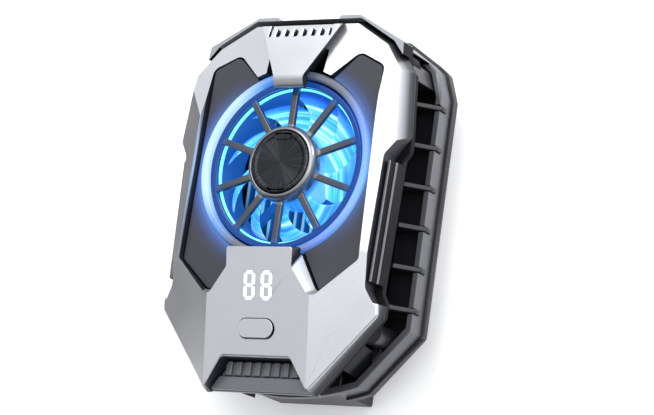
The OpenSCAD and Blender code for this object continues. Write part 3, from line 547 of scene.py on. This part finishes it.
# Clip: a black jaw on a slider that two steel springs pull in, under a guide plate held by four small screws, and a
# fixed jaw screwed to the back. Both jaws carry a soft grey-black silicone pad with a moulded rib pattern.
moulded("clip_guide", "guide_plate", 0.2, "dark_plastic", black_plastic)
moulded("lower_jaw", "sliding_jaw", 0.5, "dark_plastic", black_plastic)
moulded("upper_jaw", "fixed_jaw", 0.5, "dark_plastic", black_plastic)
silicone = finish("silicone", (0.022, 0.022, 0.025), 0.75, grain=0.4, tone=0.2)
pad_shades = silicone.node_tree
ridges = add_node(
    pad_shades, "ShaderNodeTexWave", {"Vector": place_on(silicone), "Scale": 320}, "Fac", bands_direction="X")
ridge_bump = add_node(pad_shades, "ShaderNodeBump", {"Height": ridges, "Distance": 0.12 * mm})
pad_shades.links.new(ridge_bump, shader_of(silicone).inputs["Normal"])
moulded("lower_jaw_pad", "sliding_pad", 0.35, "pad", silicone)
moulded("upper_jaw_pad", "fixed_pad", 0.35, "pad", silicone)

small_head, small_rise, small_shank = 1.5, 0.8, 0.8
guide_low, guide_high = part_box("guide_screws")
guide_x, guide_z = guide_high.x - small_head * mm, guide_high.z
held = copies(
    screw(small_head, small_rise, small_shank, 3.0, up=False), pair_tree,
    upper=(guide_x, guide_high.y - small_head * mm, guide_z), lower=(guide_x, guide_low.y + small_head * mm, guide_z),
    finish=steel)
built("guide_plate_screws", "cooler", "steel", steel, held, stands_for="guide_screws")
jaw_low, jaw_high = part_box("jaw_screws")
jaw_x = jaw_high.x - small_head * mm
fixed = copies(
    screw(small_head, small_rise, small_shank, 3.2), row_tree, count=2,
    first=(-jaw_x, (jaw_low.y + jaw_high.y) / 2, jaw_low.z), step=(2 * jaw_x, 0, 0), finish=steel)
built("fixed_jaw_screws", "cooler", "steel", steel, fixed, stands_for="jaw_screws")

coil, coil_add, coil_close = node_tree(
    "coil", turns="Float", radius="Float", wire="Float", length="Float", place="Vector")
coil_path = coil_add("GeometryNodeCurveSpiral", {
    "Resolution": 20, "Rotations": coil["turns"], "Start Radius": coil["radius"], "End Radius": coil["radius"],
    "Height": coil["length"]})
coil_round = coil_add("GeometryNodeCurvePrimitiveCircle", {"Resolution": 8, "Radius": coil["wire"]})
coil_tube = coil_add("GeometryNodeCurveToMesh", {"Curve": coil_path, "Profile Curve": coil_round, "Fill Caps": True})
coil_laid = coil_add("GeometryNodeTransform", {"Geometry": coil_tube, "Rotation": (math.pi / 2, 0, 0)})
coil_index = coil_add("GeometryNodeInputIndex", {})
coil_side = coil_add("ShaderNodeMath", {0: coil_index, 1: 2.0, 2: -1.0}, operation="MULTIPLY_ADD")
coil_flip = coil_add("ShaderNodeCombineXYZ", {"X": coil_side, "Y": 1.0, "Z": 1.0})
coil_spot = coil_add("ShaderNodeVectorMath", {0: coil["place"], 1: coil_flip}, operation="MULTIPLY")
coil_tree = coil_close(coil_add("GeometryNodePoints", {"Count": 2, "Position": coil_spot}), shape=coil_laid)
spring_low, spring_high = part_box("clip_springs")
spring_r, wire_r = (spring_high.z - spring_low.z) / 2, 0.2 * mm
springs = copies(
    bpy.data.meshes.new("nothing"), coil_tree, turns=26.0, radius=spring_r - wire_r, wire=wire_r,
    length=spring_high.y - spring_low.y - 2 * wire_r,
    place=(spring_high.x - spring_r, spring_high.y - wire_r, spring_low.z + spring_r), finish=steel)
built("jaw_springs", "cooler", "steel", steel, springs, stands_for="clip_springs")


# Fan frame and motor: a black moulded duct, its inside painted with a blue glow that stands for light, with four struts
# that carry the bearing tube. A bronze sleeve and a four-pole stator of stamped steel with copper windings are pressed
# on it. Four screws hold the ears.
# Painted light: the inside of the duct glows blue on its own.
duct_painted_glow = finish("duct_painted_glow", (0.012, 0.02, 0.05), 0.35, grain=0.2, tone=0.2)
glow(duct_painted_glow, (0.01, 0.13, 0.60), 0.55)
duct = moulded("fan_frame", "duct", 0.25, "dark_plastic", black_plastic, duct_painted_glow)
duct_r = 18.7
paint_faces_where(duct, lambda c, n: c.xy.length < duct_r)
bronze = finish("sintered_bronze", (0.42, 0.25, 0.11), 0.5, metal=1.0, grain=0.1, tone=0.25, relief=0.03)
paint(nodes["bearing_sleeve"], bronze)
paint(nodes["stator_core"], finish("stampings", (0.2, 0.2, 0.21), 0.4, metal=1.0, grain=0.1))
enamelled = finish("enamelled_copper", (0.45, 0.15, 0.06), 0.3, metal=1.0, grain=0.2, tone=0.3, relief=0.08)
paint(nodes["stator_coils"], enamelled)
fan_low, fan_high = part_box("fan_screws")
ear_head = 1.9
ear_x = fan_high.x - ear_head * mm
mounted = copies(
    screw(ear_head, 1.1, 1.0, 4.0), pair_tree, upper=(ear_x, ear_x, fan_low.z), lower=(ear_x, -ear_x, fan_low.z),
    finish=steel)
built("ear_screws", "cooler", "steel", steel, mounted, stands_for="fan_screws")


# Impeller: nine thin swept blades moulded with their hub in clear blue plastic. The light on the blades is painted into
# their finish as a glow in bright rings, white-blue halfway out and deep blue at the tips.
def lathe(profile, steps=128):
    """Mesh turned from a profile of radii and heights (mm), from axis to axis or closed."""
    form = bmesh.new()
    rings = []
    for r, z in profile:
        spread = [2 * math.pi * i / steps for i in range(steps if r > 0 else 1)]
        rings.append([form.verts.new((r * mm * math.cos(a), r * mm * math.sin(a), z * mm)) for a in spread])
    pairs = list(zip(rings, rings[1:])) + ([(rings[-1], rings[0])] if profile[0][0] > 0 else [])
    for a, b in pairs:
        for i in range(steps):
            corners = [a[i % len(a)], a[(i + 1) % len(a)], b[(i + 1) % len(b)], b[i % len(b)]]
            form.faces.new(dict.fromkeys(corners))
    bmesh.ops.recalc_face_normals(form, faces=form.faces)
    return mesh_of("lathe", form)


def eased(profile, radius):
    """A profile with its corners rounded (mm), except those on the axis."""
    points = []
    for k, here in enumerate(profile):
        p, q, s = Vector(profile[k - 1]), Vector(here), Vector(profile[(k + 1) % len(profile)])
        if q.x <= 0:
            points.append(here)
            continue
        reach_in, reach_out = min(radius, 0.45 * (p - q).length), min(radius, 0.45 * (s - q).length)
        a, b = q + (p - q).normalized() * reach_in, q + (s - q).normalized() * reach_out
        points += [tuple(a * (1 - t) ** 2 + q * 2 * t * (1 - t) + b * t * t) for t in (0, 0.25, 0.5, 0.75, 1)]
    return points


axis, axis_add, axis_close = node_tree("round_axis", count="Int", first="Float")
axis_index = axis_add("GeometryNodeInputIndex", {})
axis_step = axis_add("ShaderNodeMath", {0: 2 * math.pi, 1: axis["count"]}, operation="DIVIDE")
axis_angle = axis_add("ShaderNodeMath", {0: axis_index, 1: axis_step, 2: axis["first"]}, operation="MULTIPLY_ADD")
axis_turn = axis_add("FunctionNodeEulerToRotation", {0: axis_add("ShaderNodeCombineXYZ", {"Z": axis_angle})})
round_tree = axis_close(axis_add("GeometryNodePoints", {"Count": axis["count"]}), axis_turn)

blade_root, blade_tip, blade_foot, blade_top = 8.6, 18.1, 14.7, 20.6
blade_sweep, blade_twist, blade_t, blade_count = 26, 32, 0.9, 9
out_steps, up_steps = 18, 14


def blade_point(t, s):
    """A point on a blade's middle surface, t of the way out and s of the way up."""
    angle = math.radians(blade_sweep * t * t + blade_twist * s)
    r = blade_root + (blade_tip - blade_root) * t
    return Vector((r * math.cos(angle), r * math.sin(angle), blade_foot + (blade_top - blade_foot) * s)) * mm


blade_form = bmesh.new()
blade_sides = []
for sign in (1, -1):
    grid = []
    for i in range(out_steps + 1):
        line = []
        for j in range(up_steps + 1):
            t, s = i / out_steps, 0.02 + 0.96 * j / up_steps
            flow = blade_point(t, s + 0.01) - blade_point(t, s - 0.01)
            span = blade_point(t + 0.01, s) - blade_point(t - 0.01, s)
            thick = 0.5 * blade_t * mm * (1 - 0.75 * abs(2 * j / up_steps - 1) ** 3)
            line.append(blade_form.verts.new(blade_point(t, s) + span.cross(flow).normalized() * thick * sign))
        grid.append(line)
    blade_sides.append(grid)
    for i in range(out_steps):
        for j in range(up_steps):
            blade_form.faces.new((grid[i][j], grid[i + 1][j], grid[i + 1][j + 1], grid[i][j + 1]))
front, back = blade_sides
blade_rim = [(i, 0) for i in range(out_steps)] + [(out_steps, j) for j in range(up_steps)]
blade_rim += [(i, up_steps) for i in range(out_steps, 0, -1)] + [(0, j) for j in range(up_steps, 0, -1)]
for (i, j), (k, m) in zip(blade_rim, blade_rim[1:] + blade_rim[:1]):
    blade_form.faces.new((front[i][j], front[k][m], back[k][m], back[i][j]))
bmesh.ops.recalc_face_normals(blade_form, faces=blade_form.faces)

blade_plastic = finish("blade_painted_glow", (0.10, 0.36, 0.75), 0.18, grain=1.5, tone=0.1, relief=0.0)
blade_shades = blade_plastic.node_tree
swirl_radius, swirl_unit = fan_radius(blade_plastic)
swirl_rise = add_node(blade_shades, "ShaderNodeCombineXYZ", {"Z": swirl_radius})
swirl_place = add_node(
    blade_shades, "ShaderNodeVectorMath", {0: swirl_unit, 1: (0.55, 0.55, 0.55), 2: swirl_rise},
    operation="MULTIPLY_ADD")
swirl_noise = add_node(blade_shades, "ShaderNodeTexNoise", {"Vector": swirl_place, "Scale": 0.9, "Detail": 3})
# Painted light: swirled streaks of glow, brightest halfway out along the blades.
painted_light_streaks = ramp(
    blade_shades, swirl_noise, 0.32, 0.68,
    (0.0, (0.01, 0.06, 0.34)), (0.35, (0.02, 0.26, 0.80)), (0.62, (0.10, 0.62, 1.0)), (1.0, (0.75, 0.96, 1.0)))
painted_light_by_radius = ramp(
    blade_shades, swirl_radius, 8, 18.5,
    (0.0, (0.35, 0.35, 0.4)), (0.25, (0.9, 0.95, 1)), (0.68, (1, 1, 1)), (0.86, (0.3, 0.4, 0.7)),
    (1.0, (0.06, 0.12, 0.4)))
glow(blade_plastic, times(blade_shades, painted_light_streaks, painted_light_by_radius), 1.15)
shader_of(blade_plastic).inputs["Alpha"].default_value = 0.85
hub_profile = [
    (1.02, 18.6), (2.4, 18.6), (2.4, 20.6), (8.3, 20.6), (8.3, 14.3), (9.2, 14.3), (9.2, 20.8), (8.4, 21.6),
    (1.02, 21.6)]
blades = copies(mesh_of("blade", blade_form), round_tree, count=blade_count, first=0.0, finish=blade_plastic)
built(
    "blade_wheel", "rotor", "blade", blade_plastic, lathe(eased(hub_profile, 0.2)), blades, stands_for="impeller")
paint(nodes["rotor_yoke"], steel)
paint(nodes["rotor_shaft"], steel)
ferrite = finish("bonded_ferrite", (0.03, 0.03, 0.033), 0.6, grain=0.2, tone=0.3, relief=0.03)
paint(nodes["rotor_magnet"], ferrite)


# Mid frame: a grey moulding that carries the fan and the front shell. Its band shows along the top edge and its two
# upright bars in the waist on each side. The bars get a darker copy of its grey as painted shade, and below the shell's
# edge it is made black as painted shade.
frame_grey = finish("frame_grey", (0.36, 0.37, 0.40), 0.36, metal=0.4, grain=0.16, tone=0.06)
# Painted shade: a darker copy of the frame's grey for the bars below the band.
bar_painted_shade = finish("bar_painted_shade", (0.16, 0.163, 0.18), 0.34, metal=0.4, grain=0.16, tone=0.1)
middle = moulded("mid_frame", "carrier", 0.3, "grey_plastic", frame_grey, painted_shade_black, bar_painted_shade)
band_y, foot_y, shell_z, inner_x, inner_y = 30, -46, 19.6, 24, 33
paint_faces_where(middle, lambda c, n: c.y < band_y, 2)
# Painted shade: faces below the shell's edge and inside the frame are made black.
paint_faces_where(middle, lambda c, n: c.y > foot_y and (
    c.z < shell_z or (abs(c.x) < inner_x and c.y < inner_y) or (abs(c.y) < band_y and n.z < 0.6)))


# Light ring: a frosted clear moulding on a ring of small lamps. It glows white-blue on the left and blue on the right
# and stays grey between. A thin clear ring at the edge of the duct carries a bright cyan line.
frosted = finish("frosted_ring", (0.14, 0.15, 0.18), 0.35, grain=0.2, tone=0.05)
ring_shades = frosted.node_tree
ring_glow = ramp(
    ring_shades, along(ring_shades, fan_radius(frosted)[1], (-0.97, 0.24, 0)), -1, 1,
    (0.0, (0.12, 0.38, 0.85)), (0.12, (0.04, 0.18, 0.70)), (0.3, (0.0, 0.005, 0.03)), (0.62, (0.0, 0.01, 0.04)),
    (0.80, (0.05, 0.26, 0.80)), (0.93, (0.45, 0.72, 1.0)))
glow(frosted, ring_glow, 1.0)
ring_profile = [(21.0, 22.8), (23.0, 22.8), (23.0, 24.0), (22.5, 24.6), (21.4, 24.6), (21.0, 24.0)]
built("ring_lens", "cooler", "ring_lens", frosted, lathe(eased(ring_profile, 0.3), 160), stands_for="light_ring")
paint(nodes["led_board"], solder_mask)
cyan_line = finish("cyan_line", (0.2, 0.6, 0.9), 0.3, grain=1.0, tone=0.05)
glow(cyan_line, (0.10, 0.55, 1.0), 1.8)
line_profile = [(18.65, 21.6), (19.05, 21.6), (19.05, 22.5), (18.65, 22.5)]
built("line_light", "cooler", "glow", cyan_line, lathe(eased(line_profile, 0.1), 160), stands_for="glow_ring")


# Fan guard: ten spokes and two rings die-cast in one piece and painted gloss gunmetal. A dark cap with radial
# brushing is glued into its hub, with two small trapezoid tabs at its edge.
def painted_shade_on(material, tone):
    """Multiplies its grain by a colour that varies over the surface, used here as painted shade."""
    tree = material.node_tree
    grain = next(n for n in tree.nodes if n.type == "VALTORGB").outputs["Color"]
    tree.links.new(times(tree, grain, tone), shader_of(material).inputs["Base Color"])


def clear_coat(material, weight, rough):
    shader_of(material).inputs["Coat Weight"].default_value = weight
    shader_of(material).inputs["Coat Roughness"].default_value = rough


gunmetal = finish("gunmetal", (0.30, 0.302, 0.315), 0.34, metal=0.9, grain=0.2, tone=0.08)
guard_shades = gunmetal.node_tree
guard_radius, _ = fan_radius(gunmetal)
# Painted light and shade: a blue glow on the outer ring, and a grey that darkens from the hub ring out along the spokes
# to the rim.
guard_painted_glow = ramp(
    guard_shades, guard_radius, 10, 20.6,
    (0.0, (0.0, 0.0, 0.0)), (0.7, (0.004, 0.02, 0.06)), (0.86, (0.01, 0.07, 0.30)), (1.0, (0.01, 0.08, 0.45)))
guard_painted_shade = ramp(
    guard_shades, guard_radius, 8, 20.6,
    (0.0, (1, 1, 1)), (0.12, (1, 1, 1)), (0.16, (0.35, 0.35, 0.37)), (0.86, (0.2, 0.22, 0.28)),
    (0.9, (0.02, 0.05, 0.16)))
glow(gunmetal, guard_painted_glow, 0.8)
painted_shade_on(gunmetal, guard_painted_shade)
clear_coat(gunmetal, 0.4, 0.12)
guard_low, guard_t, spoke_w, spoke_count = 22.5, 1.3, 1.7, 10
spoke = block((8.8, -spoke_w / 2, guard_low), (19.4, spoke_w / 2, guard_low + guard_t), 0.3)
spokes = copies(spoke, round_tree, count=spoke_count, first=math.pi / spoke_count, finish=gunmetal)
hub_ring = [
    (0, 22.5), (9.2, 22.5), (9.2, 24.4), (9.05, 25.1), (8.75, 25.65), (8.35, 26.0), (7.85, 26.1), (7.85, 24.1),
    (0, 24.1)]
rim_ring = [(19.2, 22.5), (20.6, 22.5), (20.6, 23.8), (19.2, 23.8)]
built(
    "spoked_guard", "cooler", "gunmetal", gunmetal, lathe(eased(hub_ring, 0.5)), lathe(eased(rim_ring, 0.3), 160),
    spokes, stands_for="fan_guard")

brushed = finish("radial_brushing", (0.10, 0.102, 0.112), 0.34, metal=1.0, grain=0.6, tone=0.05)
cap_shades, cap_shader = brushed.node_tree, shader_of(brushed)
_, brush_unit = fan_radius(brushed)
brush_lines = add_node(cap_shades, "ShaderNodeTexNoise", {"Vector": brush_unit, "Scale": 26, "Detail": 4})
brush_shade = ramp(cap_shades, brush_lines, 0.25, 0.75, (0.0, (0.012, 0.0125, 0.015)), (1.0, (0.075, 0.077, 0.085)))
cap_shades.links.new(brush_shade, cap_shader.inputs["Base Color"])
brush_across = add_node(cap_shades, "ShaderNodeVectorMath", {0: brush_unit, 1: (0, 0, 1)}, operation="CROSS_PRODUCT")
cap_shades.links.new(brush_across, cap_shader.inputs["Tangent"])
cap_shader.inputs["Anisotropic"].default_value = 0.8
cap_profile = [(0, 24.1), (7.7, 24.1), (7.7, 26.0), (7.3, 26.3), (6.6, 26.3), (6.3, 26.0), (0, 26.0)]
tab_form = bmesh.new()
tab_foot, tab_rise = 25.9, 0.4
tab_corners = [(-1.9, 5.4), (1.9, 5.4), (2.6, 6.5), (2.4, 7.1), (-2.4, 7.1), (-2.6, 6.5)]
tab_face = tab_form.faces.new([tab_form.verts.new((x * mm, y * mm, tab_foot * mm)) for x, y in tab_corners])
tab_top = bmesh.ops.extrude_face_region(tab_form, geom=[tab_face])["geom"]
tab_points = [v for v in tab_top if isinstance(v, bmesh.types.BMVert)]
bmesh.ops.translate(tab_form, vec=(0, 0, tab_rise * mm), verts=tab_points)
bmesh.ops.recalc_face_normals(tab_form, faces=tab_form.faces)
bmesh.ops.bevel(tab_form, geom=tab_form.edges[:], offset=0.1 * mm, segments=2, affect="EDGES", profile=0.5)
tabs = copies(mesh_of("tab", tab_form), round_tree, count=2, first=0.0, finish=brushed)
built("centre_cap", "cooler", "cap", brushed, lathe(eased(cap_profile, 0.12)), tabs, stands_for="hub_cap")


# Display and button: the figures are a milky light guide that shows through the shell, lit from a small board behind
# it. The button is a separate moulding in the shell's silver with a gap round it, over a tact switch; its upright sides
# are made black as painted shade.
milky = finish("milky_figures", (0.9, 0.92, 0.95), 0.3, grain=1.0, tone=0.03)
glow(milky, (0.92, 0.96, 1.0), 1.3)
paint(nodes["digit_light_guide"], milky)
paint(nodes["control_board"], solder_mask)
paint(nodes["tact_switch"], black_plastic)
button_silver = finish("button_silver", (0.62, 0.63, 0.66), 0.36, metal=0.7, grain=0.18, tone=0.05)
pill = moulded("power_button", "pill_button", 0.45, "button", button_silver, painted_shade_black)
# Painted shade: the button's upright sides are made black.
paint_faces_where(pill, lambda c, n: n.z < 0.35)


# Grille and top strip: a grey strip with eight upright ribs closes the notch at the bottom, and a black slotted strip
# lies under the teeth at the top. Both are moulded and pushed in from behind.
grille_grey = finish("grille_grey", (0.13, 0.133, 0.145), 0.4, metal=0.2, grain=0.16, tone=0.1)
moulded("bottom_grille", "ribbed_strip", 0.3, "grey_plastic", grille_grey)
moulded("top_vent_insert", "slotted_strip", 0.15, "dark_plastic", black_plastic)


# Inlays: flat dark grey panels glued into the shell's openings, with a satin face. The ring's light on them is painted
# into their finish as a blue glow halo on the left and the right.
satin_grey = finish("satin_grey", (0.036, 0.038, 0.048), 0.5, grain=0.12, tone=0.12, relief=0.015)
inlay_shades = satin_grey.node_tree
halo_radius, halo_unit = fan_radius(satin_grey)
# Painted light: a blue glow near the ring, strongest on the left and right.
halo_reach = ramp(
    inlay_shades, halo_radius, 23, 28,
    (0.0, (0.10, 0.34, 1.0)), (0.25, (0.03, 0.13, 0.55)), (0.6, (0.004, 0.02, 0.12)), (1.0, (0, 0, 0)))
halo_side = ramp(
    inlay_shades, along(inlay_shades, halo_unit, (-0.95, -0.31, 0)), -1, 1,
    (0.0, (0.8, 0.8, 0.8)), (0.2, (0.4, 0.4, 0.4)), (0.4, (0, 0, 0)), (0.6, (0, 0, 0)), (0.85, (0.7, 0.7, 0.7)),
    (1.0, (1, 1, 1)))
glow(satin_grey, times(inlay_shades, halo_reach, halo_side), 0.6)
for side in ("left", "right"):
    moulded(side + "_inlay", side + "_panel", 0.15, "inlay", satin_grey)


# Front shell: one injection moulding with sharp facets, sprayed from the front with silver flake paint under a clear
# coat. On the leaning flanks the silver gets darker towards the bottom as painted shade. Undersides are bare dark
# plastic, and upright walls get the same near black as painted shade. It is held from behind, so no screw shows.
silver_paint = finish("silver_paint", (0.66, 0.67, 0.70), 0.32, metal=0.88, grain=0.18, tone=0.07)
clear_coat(silver_paint, 0.3, 0.15)
# Painted shade: near black for the upright walls; the undersides are bare dark plastic.
bare_and_painted_shade = finish("bare_and_painted_shade", (0.010, 0.012, 0.02), 0.5, grain=0.2, tone=0.2)
flank_paint = finish("flank_paint", (0.50, 0.51, 0.54), 0.34, metal=0.85, grain=0.18, tone=0.07)
flank_shades = flank_paint.node_tree
flank_height = along(flank_shades, place_on(flank_paint), (0, 0, 1))
# Painted shade: the flank silver gets darker towards the bottom of the flanks.
flank_painted_shade = ramp(
    flank_shades, flank_height, 0.019, 0.0245,
    (0.0, (0.03, 0.032, 0.04)), (0.35, (0.12, 0.122, 0.13)), (0.7, (0.6, 0.6, 0.61)), (1.0, (1.0, 1.0, 1.0)))
painted_shade_on(flank_paint, flank_painted_shade)
shell = moulded("front_shell", "shell", 0.55, "silver_paint", silver_paint, bare_and_painted_shade, flank_paint, crease=8)
upright, leaning = 0.2, 0.32
paint_faces_where(shell, lambda c, n: n.z < 0.3)
paint_faces_where(shell, lambda c, n: upright < n.z < leaning and n.x * c.x + n.y * (c.y - body_middle) > 0, 2)


# Housing screws: four plated screws with cross recesses go in from the back, through cover, tray and corner blocks,
# into the mid frame's bosses.
post_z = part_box("housing_screws")[0].z
upper_post, lower_post = (24.4 * mm, 26.2 * mm, post_z), (23.6 * mm, -37.6 * mm, post_z)
posts = copies(screw(1.9, 1.1, 1.0, 15.4), pair_tree, upper=upper_post, lower=lower_post, finish=steel)
built("back_screws", "cooler", "steel", steel, posts, stands_for="housing_screws")
